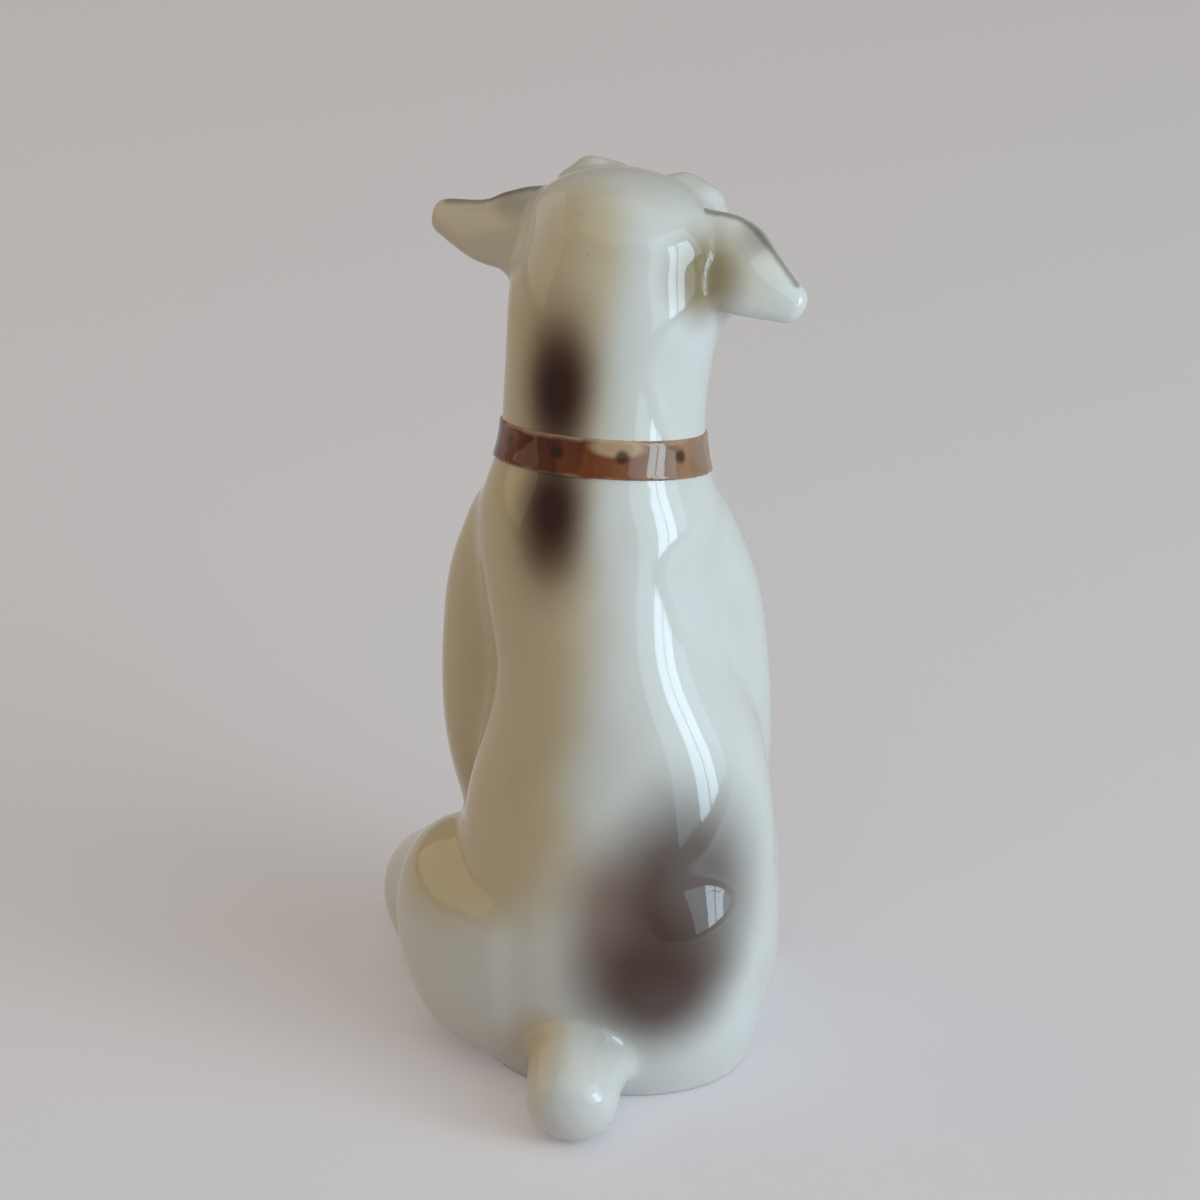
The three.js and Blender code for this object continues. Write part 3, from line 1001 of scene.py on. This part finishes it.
# colour, strength, centre, radii, softness
BODY_SPRAY = (
    (KHAKI, 1, (10.5, 3, 43), (12.6, 18, 25), 0.28),
    (KHAKI, 1, (12, 7, 26), (14, 15, 9.5), 0.35),
    (KHAKI, 1, (8.5, -3, 66), (10, 13, 13), 0.38),
    (KHAKI, 0.95, (1.6, -5, 80), (4.2, 8, 8), 0.55),
    (KHAKI, 0.7, (15, -15, 80.2), (7.5, 6, 5), 0.45),
    (KHAKI, 0.36, (-14, -10, 79.6), (4.5, 4, 3.2), 0.5),
    (KHAKI, 0.9, (2.4, 18, 6), (3.4, 5, 4), 0.6),
    (DEEP_KHAKI, 0.95, (-9.8, -7.6, 78.6), (3.5, 4.2, 4), 0.6),
    (WARM_BROWN, 0.74, (-5.2, 16, 20), (5, 6, 8.4), 0.7),
    (RUMP_BROWN, 0.84, (-11, 12.8, 23), (6.2, 10, 9.8), 0.6),
    (RUMP_BROWN, 0.9, (-8.6, 16.2, 13.8), (7, 7, 6), 0.65),
    (WARM_BROWN, 0.7, (3.1, 4, 57), (3.6, 5, 6.6), 0.8),
    (WARM_BROWN, 0.7, (3.1, -1.2, 70), (3.7, 5, 6.8), 0.8),
    (DARK_BROWN, 0.98, (3.1, 4, 58.3), (2.8, 5, 5), 0.75),
    (DARK_BROWN, 0.98, (3, -1.2, 68.6), (2.8, 5, 5.2), 0.75),
    (DARK_BROWN, 0.34, (9.8, -15, 83), (2.8, 2.6, 1.5), 0.8),
    (DARK_BROWN, 0.42, (-14.9, -11.4, 81.5), (1.8, 2, 1.8), 0.8),
)
# the same on the face, in the head's own frame
FACE_SPRAY = (
    (KHAKI, 0.8, (5.4, -8.4, 0.4), (4, 4, 4.2), 0.4),
    (DEEP_KHAKI, 0.35, (0, -17, -2.4), (3.2, 2.6, 2.4), 0.5),
)

coat, takes, gives = new_group("painted coat", {"Millimetres": "Vector"}, {"Color": "Color"})
place = takes["Millimetres"]
cloudy = ramp(coat, noise(coat, place, 0.12), 0.35, 0.65)
colour = tint(coat, cloudy, WHITE, CREAM, 0.25)
for patch in BODY_SPRAY:
    colour = spray(coat, place, colour, *patch)
for pot, strength, centre, radii, softness in FACE_SPRAY:
    spot = head_place @ Vector(centre)
    colour = spray(coat, place, colour, pot, strength, spot, radii, softness, HEAD_TURN)
coat.links.new(colour, gives["Color"])
print("sprayed patches:", len(BODY_SPRAY) + len(FACE_SPRAY))

# %% [markdown]
# The glaze. It is glass, thinner than a fingernail, and never quite level: it pulls into slow
# waves as it melts. The paint lies under it, so the shader's own surface is the glass: nearly
# smooth, with a bump of a few hundredths of a millimetre that bends what it reflects. A few specks
# of iron burn through, as in any kiln.

# %% Shared effect: glaze
SPECK = pigment(120, 96, 74)
SPECK_RIM = (0.012, 0.024)  # as shares of a cell
SPECKS_PER_MM = 0.22
FAST_SHARE = 0.08  # how high the fast waves are, against the slow ones
WAVE_DEPTH = 0.035 * MM
GLASSY = 0.05  # roughness

glaze_waves, takes, gives = new_group(
    "glaze waves", {"Millimetres": "Vector"}, {"Height": "Float", "Specks": "Float"}
)
place = takes["Millimetres"]
slow = noise(glaze_waves, place, 0.16, 1.0)
fast = noise(glaze_waves, place, 1.1, 1.0)
waves = maths(glaze_waves, "MULTIPLY_ADD", fast, FAST_SHARE, slow)
glaze_waves.links.new(waves, gives["Height"])
cells = add(glaze_waves, "TexVoronoi", {"Vector": place, "Scale": SPECKS_PER_MM})
near = ramp(glaze_waves, cells.outputs["Distance"], *SPECK_RIM, 1, 0)
glaze_waves.links.new(near, gives["Specks"])


def new_finish(name):
    """A material with a glassy surface."""
    finish = bpy.data.materials.new(name)
    finish.use_nodes = True
    shader = finish.node_tree.nodes["Principled BSDF"]
    shader.inputs["Roughness"].default_value = GLASSY
    return finish, finish.node_tree, shader.inputs, millimetres(finish.node_tree)


def glaze_over(tree, inputs, place, colour, depth=WAVE_DEPTH):
    """Links the colour with its specks, and the waves of the glaze."""
    glaze = add(tree, "Group", {"Millimetres": place}, node_tree=glaze_waves).outputs
    tree.links.new(tint(tree, glaze["Specks"], colour, SPECK, 0.5), inputs["Base Color"])
    bump = add(tree, "Bump", {"Height": glaze["Height"], "Strength": 1, "Distance": depth})
    tree.links.new(bump.outputs[0], inputs["Normal"])


# %% [markdown]
# The mouth and the rims of the ears are drawn with a brush that follows the shape. So each point
# of the piece stores how far it is from the drawn line, and the material paints where that number
# is small. The nearest point of a rim is found with a KD tree.

# %% Lines drawn with a brush
RIM_POINTS = 160
BEHIND_RIM = Vector((0, 1.1, 0.9))  # the line is drawn just behind the rim
LINE_RIM = (0.8, 3)  # where a brushed line starts to fade and ends, in half widths
TO_MAKER = TO_ROW.inverted()


def measure(piece, name, distance_at):
    """Stores each point's distance in millimetres from a line."""
    values = [distance_at(TO_MAKER @ vert.co) for vert in piece.data.vertices]
    layer = piece.data.attributes.new(name, "FLOAT", "POINT")
    layer.data.foreach_set("value", values)
    print(piece.name, name, "nearest", round(min(values), 2), "mm")


def edge_of(form):
    """Points along a form's edge, on the side of its face."""
    rows = [Vector(row[:6]) for row in form["places"].values()]
    up = Vector(form["face"]).normalized()
    for k in range(RIM_POINTS + 1):
        row = row_at(rows, k / RIM_POINTS)
        yield Vector(row[:3]) + up * row[4]


def from_rim(ear, name):
    """A measure from the upper rim of an ear, laid on its back."""
    rim = [head_place @ (point + BEHIND_RIM) for point in edge_of(ears[name])]
    tree = KDTree(len(rim))
    for i, point in enumerate(rim):
        tree.insert(TO_MAKER @ ear.closest_point_on_mesh(TO_ROW @ point)[1], i)
    tree.balance()
    return lambda place: tree.find(place)[2]


def drawn_line(tree, name, half_width, place):
    """A mask for a brushed line on the attribute `name`, a little uneven in width."""
    distance = add(tree, "Attribute", {}, attribute_name=name).outputs["Fac"]
    uneven = maths(tree, "MULTIPLY_ADD", noise(tree, place, 0.9, 1.0), half_width, distance)
    return ramp(tree, uneven, half_width * LINE_RIM[0], half_width * LINE_RIM[1], 1, 0)


measure(pieces["head"], "from_mouth", from_mouth)
for name in SIDES:
    ear = pieces[f"ear_{name}"]
    measure(ear, "from_rim", from_rim(ear, name))

# %% [markdown]
# The finish of the body and the head. The seat is wiped before the firing, or the glaze would glue
# the figure to the kiln shelf. So it is bare, rough clay up to an uneven line.

# %% Finish of the body and head
BARE_BELOW = 0.25  # the glaze is wiped off the seat up to this height
BARE_RIM = 0.2  # how wide and how uneven the line there is
BARE_ROUGHNESS = 0.8
MOUTH_LINE = 0.28  # half its width
BISQUE = pigment(226, 222, 212)
MOUTH_BROWN = pigment(96, 60, 44)


def body_finish(name, with_mouth):
    finish, tree, inputs, place = new_finish(name)
    colour = add(tree, "Group", {"Millimetres": place}, node_tree=coat).outputs["Color"]
    if with_mouth:
        drawn = drawn_line(tree, "from_mouth", MOUTH_LINE, place)
        colour = tint(tree, drawn, colour, MOUTH_BROWN, 0.8)
    height = add(tree, "SeparateXYZ", {0: place}).outputs["Z"]
    wiped = maths(tree, "MULTIPLY_ADD", noise(tree, place, 0.6), BARE_RIM, height)
    bare = ramp(tree, wiped, BARE_BELOW, BARE_BELOW + BARE_RIM, 1, 0)
    colour = tint(tree, bare, colour, BISQUE)
    glaze_over(tree, inputs, place, colour)
    tree.links.new(ramp(tree, bare, 0, 1, GLASSY, BARE_ROUGHNESS), inputs["Roughness"])
    return finish


white_glaze = body_finish("white glaze", False)
face_glaze = body_finish("face glaze", True)

# %% [markdown]
# The ears have the same coat, and the hollow in front is sprayed brown. The brown is everything on
# the front side of a plane through the ear's own blade. A thin dark line follows the upper rim.

# %% Finish of the ears
EAR_BROWN = pigment(104, 70, 46)
RIM_BROWN = pigment(76, 46, 32)
RIM_HALF_WIDTH = {"left": 0.36, "right": 0.3}
INSIDE_FROM = (0.5, 1.3)  # how far ahead of the blade the brown starts and is full


def ear_finish(name):
    finish, tree, inputs, place = new_finish(f"{name} ear glaze")
    colour = add(tree, "Group", {"Millimetres": place}, node_tree=coat).outputs["Color"]
    rows = ears[name]["places"]
    base, tip = (Vector(rows[key][:3]) for key in ("base", "tip"))
    front = (tip - base).cross(Vector(ears[name]["face"])).normalized()
    if front.y > 0:
        front.negate()
    towards_front = head_place.to_3x3() @ front
    level = towards_front.dot(head_place @ base)
    ahead = add(tree, "VectorMath", {0: place, 1: towards_front}, operation="DOT_PRODUCT")
    ahead = maths(tree, "SUBTRACT", ahead.outputs["Value"], level)
    ahead = maths(tree, "MULTIPLY_ADD", noise(tree, place, 0.5), 0.5, ahead)
    colour = tint(tree, ramp(tree, ahead, *INSIDE_FROM), colour, EAR_BROWN, 0.85)
    rim = drawn_line(tree, "from_rim", RIM_HALF_WIDTH[name], place)
    colour = tint(tree, rim, colour, RIM_BROWN, 0.55)
    glaze_over(tree, inputs, place, colour)
    return finish


ear_glazes = {name: ear_finish(name) for name in SIDES}

# %% [markdown]
# The collar is painted by hand. Short upright strokes of thin and thick reddish brown leave a pale
# gold ground showing at the edges and in one gap, and round studs are dotted on. The pattern is
# drawn in the strap's own frame, where Z is the height and the angle runs round the neck.

# %% Finish of the collar
GOLD = pigment(204, 174, 138)
RED_BROWN = pigment(132, 66, 28)
DEEP_RED_BROWN = pigment(72, 28, 8)
COLLAR_ROUND = 9.9  # the strap's mean radius
STROKE = 1.9  # mm along the strap
STROKE_WEIGHT = 0.62  # how much darker one stroke is than another
POOL_WEIGHT = 0.38  # how much darker the colour is where it pools
POOLS_PER_MM = (0.6, 0.6, 0.12)
BRISTLES_PER_MM = (3.4, 3.4, 0.9)
BRISTLE_WEIGHT = 0.3

collar_glaze, tree, inputs, place = new_finish("collar glaze")
strap_place = in_frame(tree, place, COLLAR_AT, (NECK_LEAN, COLLAR_TILT, 0))
across, ahead, up = add(tree, "SeparateXYZ", {0: strap_place}).outputs
angle = maths(tree, "ARCTAN2", across, ahead)
wobble = noise(tree, strap_place, 0.5, 1.0)
along = maths(tree, "MULTIPLY_ADD", angle, COLLAR_ROUND / STROKE, wobble)
laid = add(tree, "TexVoronoi", {"W": along, "Scale": 1}, voronoi_dimensions="1D").outputs["Color"]
strokes = ramp(tree, laid, 0.35, 0.65, 0, STROKE_WEIGHT)
upright = add(tree, "Mapping", {"Vector": strap_place, "Scale": POOLS_PER_MM}).outputs[0]
pools = ramp(tree, noise(tree, upright, 1.0), 0.42, 0.68, 0, POOL_WEIGHT)
colour = tint(tree, maths(tree, "ADD", strokes, pools), RED_BROWN, DEEP_RED_BROWN)
bristles = add(tree, "Mapping", {"Vector": strap_place, "Scale": BRISTLES_PER_MM}).outputs[0]
streaks = ramp(tree, noise(tree, bristles, 1.0, 1.0), 0.5, 0.8, 0, BRISTLE_WEIGHT)
colour = tint(tree, streaks, colour, RED_BROWN)
print("strokes round the neck:", round(math.tau * COLLAR_ROUND / STROKE))

# %% Gold ground, gap and painted lit side of the collar
COLLAR_REACH = 10  # from its middle to its right side
GAP_AT = (-2.6, 9.6, 1.2)
GAP_TURN = (0, 0, 0.25)
GAP_RADII = (2.6, 3, 0.95)
EDGE_LIFT = 0.1  # the gold shows a little more at the upper edge
EDGE_RAGGED = 0.8
EDGE_RIM = (1.85, 2.5)
LIT_SIDE_SHARE = 0.42  # how much paler towards gold the right side is painted, a painted lit side where the light falls on the strap

# Painted light: the strap is painted paler towards gold on its right side, where the light falls,
# fading to nothing at its middle.
colour = tint(tree, ramp(tree, across, -COLLAR_REACH, 0, LIT_SIDE_SHARE, 0), colour, GOLD)
edge = maths(tree, "ABSOLUTE", maths(tree, "ADD", up, EDGE_LIFT))
ragged = maths(tree, "MULTIPLY_ADD", noise(tree, upright, 0.9, 1.0), EDGE_RAGGED, edge)
colour = tint(tree, ramp(tree, ragged, *EDGE_RIM, 0, 0.6), colour, GOLD)
gap = patch_mask(tree, place, in_frame(tree, strap_place, GAP_AT, GAP_TURN, GAP_RADII), 0.3)
colour = tint(tree, gap, colour, GOLD, 0.8)

# %% Studs of the collar
STUD = pigment(46, 18, 6)
STUD_COUNT = 10
STUD_RADIUS = 0.62
STUD_SOFTNESS = 0.3
STUD_HEIGHT = 0.3  # above the middle of the strap
STUD_TURN = 18.5  # degrees from straight behind to the first stud on the left

spacing = math.tau / STUD_COUNT
turned = maths(tree, "SUBTRACT", angle, math.radians(STUD_TURN) - spacing / 2)
within = maths(tree, "SUBTRACT", maths(tree, "FLOORED_MODULO", turned, spacing), spacing / 2)
beside = maths(tree, "MULTIPLY", within, COLLAR_ROUND)
above = maths(tree, "SUBTRACT", up, STUD_HEIGHT)
squares = maths(tree, "MULTIPLY_ADD", beside, beside, maths(tree, "MULTIPLY", above, above))
far = maths(tree, "SQRT", squares)
studs = ramp(tree, far, STUD_RADIUS - STUD_SOFTNESS, STUD_RADIUS + STUD_SOFTNESS, 0.8, 0)
glaze_over(tree, inputs, place, tint(tree, studs, colour, STUD))
print("studs:", STUD_COUNT)

# %% [markdown]
# Nose and eyes are thick, dark enamel. The eye isn't one flat black: a ring of warm brown lies
# round the pupil and shows where the light falls in.

# %% Finish of the nose and eyes
NEAR_BLACK = pigment(26, 21, 20)
IRIS = pigment(92, 52, 26)
LEATHER = pigment(44, 36, 34)
NOSE_WAVES = 0.06 * MM
PUPIL = (0.5, -1.35, 0.1)  # from the middle of the left eye
IRIS_STARTS = (0.65, 0.8)  # mm from there
IRIS_ENDS = (1.25, 1.5)

nose_glaze, tree, inputs, place = new_finish("nose enamel")
grainy = ramp(tree, noise(tree, place, 3.2, 3.0), 0.4, 0.7)
glaze_over(tree, inputs, place, tint(tree, grainy, NEAR_BLACK, LEATHER), NOSE_WAVES)


def eye_finish(name, side):
    finish, tree, inputs, place = new_finish(f"{name} eye enamel")
    pupil = head_place @ (on_side(side, EYE_AT) + on_side(side, PUPIL))
    apart = add(tree, "VectorMath", {0: place, 1: pupil}, operation="DISTANCE")
    out = maths(tree, "MULTIPLY_ADD", noise(tree, place, 2.4), 0.25, apart.outputs["Value"])
    fading = ramp(tree, out, *IRIS_ENDS, 1, 0)
    ring = maths(tree, "MULTIPLY", ramp(tree, out, *IRIS_STARTS), fading)
    glaze_over(tree, inputs, place, tint(tree, ring, NEAR_BLACK, IRIS, 0.85))
    return finish


# %% Put the finishes on
FINISHES = {"head": face_glaze, "collar": collar_glaze, "nose": nose_glaze}
for name, side in SIDES.items():
    FINISHES[f"ear_{name}"] = ear_glazes[name]
    FINISHES[f"eye_{name}"] = eye_finish(name, side)
for node, piece in pieces.items():
    piece.data.materials.clear()
    piece.data.materials.append(FINISHES.get(node, white_glaze))
    print(node, piece.data.materials[0].name)

# %% [markdown]
# The camera looks down on the figure's back. Its distance is a guess from the slight perspective,
# and its lens is then set so that a millimetre covers as many pixels as in the photograph.

# %% Camera
AZIMUTH = 188
ELEVATION = 26
DISTANCE = 0.45
TARGET = Vector((-0.00295, 0.0032, 0.0473))
PIXELS_PER_METRE = 10280
IMAGE_SIDE = 1200  # pixels
SENSOR = 36


def way_to(azimuth, elevation):
    """The direction from the figure to a place round it, 0 in front and 90 at its left side."""
    azimuth, elevation = math.radians(azimuth), math.radians(elevation)
    level = math.cos(elevation)
    return Vector(
        (math.sin(azimuth) * level, -math.cos(azimuth) * level, math.sin(elevation))
    )


def stand(obj, direction, distance):
    """Places a camera or lamp out along the direction, looking back at the target."""
    obj.location = TARGET + direction * distance
    obj.rotation_euler = direction.to_track_quat("Z", "Y").to_euler()
    scene.collection.objects.link(obj)


lens = bpy.data.cameras.new("camera")
lens.sensor_width = SENSOR
lens.lens = DISTANCE * SENSOR * PIXELS_PER_METRE / IMAGE_SIDE
lens.clip_start = 0.01
camera = bpy.data.objects.new("camera", lens)
stand(camera, way_to(AZIMUTH, ELEVATION), DISTANCE)
scene.camera = camera
print("lens in mm:", round(lens.lens, 1))

# %% [markdown]
# A glazed thing shows its room. Here that is a window with two panes, behind and to the right,
# with soft daylight round it, a broad light overhead, and a warm and weaker one from the left. The
# floor is pale and plain. It is a little lighter to the camera and in reflections, so that the
# background is pale while the figure gets no more light from it. So is the world, which stands
# for the far walls of the room.

# %% Floor
FLOOR_GREY = pigment(223, 218, 221)
FLOOR_LIFT = 0.15
LIFT_COLOUR = (0.93, 0.92, 0.98, 1)

bm = bmesh.new()
bmesh.ops.create_grid(bm, x_segments=1, y_segments=1, size=3)
floor = object_of(bm, "floor")


def seen_rays(tree):
    """1 for what the camera sees, straight or in a reflection."""
    rays = add(tree, "LightPath", {}).outputs
    seen = maths(tree, "MAXIMUM", rays["Is Camera Ray"], rays["Is Glossy Ray"])
    return maths(tree, "MAXIMUM", seen, rays["Is Transmission Ray"])


floor_paint = bpy.data.materials.new("floor")
floor_paint.use_nodes = True
tree = floor_paint.node_tree
shader = tree.nodes["Principled BSDF"].inputs
shader["Base Color"].default_value = FLOOR_GREY
shader["Roughness"].default_value = 0.7
shader["Specular IOR Level"].default_value = 0.1
shader["Emission Color"].default_value = LIFT_COLOUR
lift = maths(tree, "MULTIPLY", seen_rays(tree), FLOOR_LIFT)
tree.links.new(lift, shader["Emission Strength"])
floor.data.materials.append(floor_paint)

# %% Lamps
WINDOW_AWAY = 0.8
PANE = (0.125, 0.36)
MULLION = 0.016
DAYLIGHT = (0.66, 0.85, 1)
LAMPLIGHT = (1, 0.97, 0.89)
WARM = (1, 0.76, 0.46)


def area_lamp(name, direction, away, size, power, colour):
    """A rectangle of light that faces the figure, in metres and watts."""
    light = bpy.data.lights.new(name, "AREA")
    light.shape = "RECTANGLE"
    light.size, light.size_y = size
    light.energy = power
    light.color = colour
    obj = bpy.data.objects.new(name, light)
    stand(obj, direction, away)
    return obj


window = way_to(250, 14)
beside = Vector((0, 0, 1)).cross(window).normalized()
for name, side in SIDES.items():
    pane = area_lamp(f"window_pane_{name}", window, WINDOW_AWAY, PANE, 0.95, DAYLIGHT)
    pane.location += beside * side * (PANE[0] + MULLION) / 2
area_lamp("daylight", way_to(248, 24), 1.0, (1, 0.8), 4.3, DAYLIGHT)
area_lamp("ceiling", way_to(200, 78), 1.2, (1.6, 1.6), 4.0, LAMPLIGHT)
area_lamp("warm_wall", way_to(80, 24), 1.0, (1.2, 0.7), 1.6, WARM)

# %% World
room = bpy.data.worlds.new("room")
room.use_nodes = True
tree = room.node_tree
given = tree.nodes["Background"]
given.inputs["Color"].default_value = (1, 0.9, 0.72, 1)
given.inputs["Strength"].default_value = 0.15
seen = add(tree, "Background", {"Color": (1, 0.95, 0.89, 1), "Strength": 0.27})
mixed = add(tree, "MixShader", {0: seen_rays(tree), 1: given.outputs[0], 2: seen.outputs[0]})
tree.links.new(mixed.outputs[0], tree.nodes["World Output"].inputs["Surface"])
scene.world = room
scene.view_settings.view_transform = "Standard"
